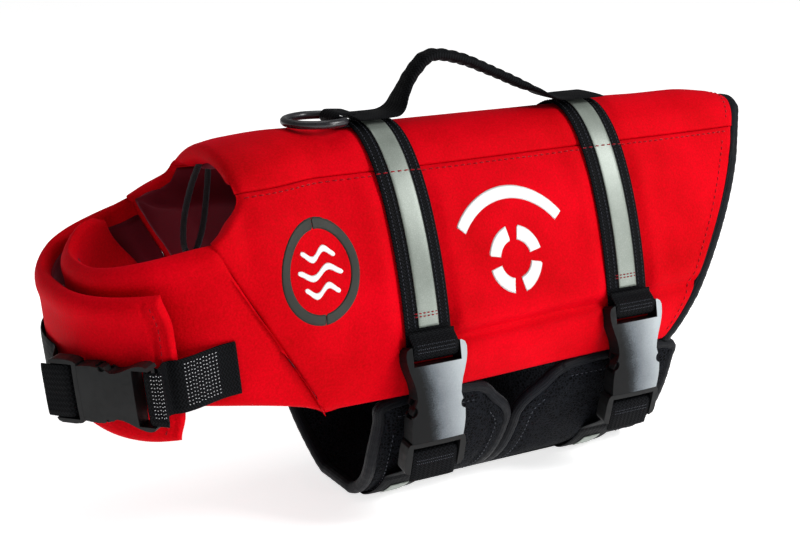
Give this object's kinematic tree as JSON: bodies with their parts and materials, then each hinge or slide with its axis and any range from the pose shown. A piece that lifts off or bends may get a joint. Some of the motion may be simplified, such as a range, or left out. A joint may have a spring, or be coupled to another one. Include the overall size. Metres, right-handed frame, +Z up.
{
  "type": "dog life jacket",
  "caption": "Padded buoyancy jacket for a small dog, with a wrap-round chest, mesh belly band, webbing straps, side-release buckles, grab handle and leash ring.",
  "frame": {"origin": "middle of the belly band's flat underside, on the jacket's middle plane, midway between the two body straps", "axes": "+X towards the tail, -Y towards the dog's left (the side with the buckles), +Z up"},
  "size_m": [0.4067, 0.14, 0.2197],
  "materials": {
    "neoprene": "nylon-faced neoprene, satin sheen",
    "lining": "matte knit",
    "foam": "closed-cell foam, unseen inside the panels",
    "webbing": "woven, matte",
    "reflective_tape": "silver-grey, slightly glossy",
    "plastic": "moulded, soft sheen",
    "mesh": "spacer mesh, matte",
    "binding": "ribbed tape, matte",
    "hook_and_loop": "fuzzy, matte",
    "cord": "braided"
  },
  "bodies": {
    "jacket": {"spine_cover": "neoprene", "left_side_cover": "neoprene", "right_side_cover": "neoprene", "left_chest_cover": "neoprene", "right_chest_cover": "neoprene", "spine_lining": "lining", "left_side_lining": "lining", "right_side_lining": "lining", "left_chest_lining": "lining", "right_chest_lining": "lining", "spine_foam": "foam", "left_side_foam": "foam", "right_side_foam": "foam", "front_body_strap": "webbing", "rear_body_strap": "webbing", "near_chest_strap": "webbing", "far_chest_strap": "webbing", "front_handle_base": "webbing", "rear_handle_base": "webbing", "d_ring_loop": "webbing", "front_reflective_tape": "reflective_tape", "rear_reflective_tape": "reflective_tape", "front_buckle_socket": "plastic", "rear_buckle_socket": "plastic", "chest_buckle_socket": "plastic", "rear_edge_binding": "binding", "loop_patch": "hook_and_loop", "hook_patch": "hook_and_loop", "neck_cord": "cord"},
    "belly_band": {"front_belly_pad": "mesh", "rear_belly_pad": "mesh", "front_belly_binding": "binding", "rear_belly_binding": "binding", "belly_bridge": "webbing", "front_lower_strap": "webbing", "rear_lower_strap": "webbing", "front_buckle_plug": "plastic", "front_prong_1": "plastic", "front_prong_2": "plastic", "rear_buckle_plug": "plastic", "rear_prong_1": "plastic", "rear_prong_2": "plastic"},
    "chest_plug": {"chest_buckle_plug": "plastic", "chest_prong_1": "plastic", "chest_prong_2": "plastic"},
    "handle": {"grab_handle": "webbing"},
    "leash_ring": {"d_ring": "plastic"}
  },
  "joints": [
    {"name": "belly_swing", "type": "hinge", "parent": "jacket", "child": "belly_band", "pos_m": [0, 0.055, 0.0644], "axis": [1, 0, 0], "range_deg": [0, 65], "deforming": ["front_prong_1", "front_prong_2", "rear_prong_1", "rear_prong_2"]},
    {"name": "chest_release", "type": "slide", "parent": "jacket", "child": "chest_plug", "axis": [-0.5846, 0.809, -0.0614], "range_m": [0, 0.026], "deforming": ["chest_prong_1", "chest_prong_2", "far_chest_strap"]},
    {"name": "handle_tilt", "type": "hinge", "parent": "jacket", "child": "handle", "pos_m": [0, 0, 0.1943], "axis": [1, 0, 0], "range_deg": [-45, 45], "stiffness_Nm_per_rad": 0.02},
    {"name": "ring_lift", "type": "hinge", "parent": "jacket", "child": "leash_ring", "pos_m": [-0.079, 0, 0.192], "axis": [0, 1, 0], "range_deg": [0, 140]}
  ]
}
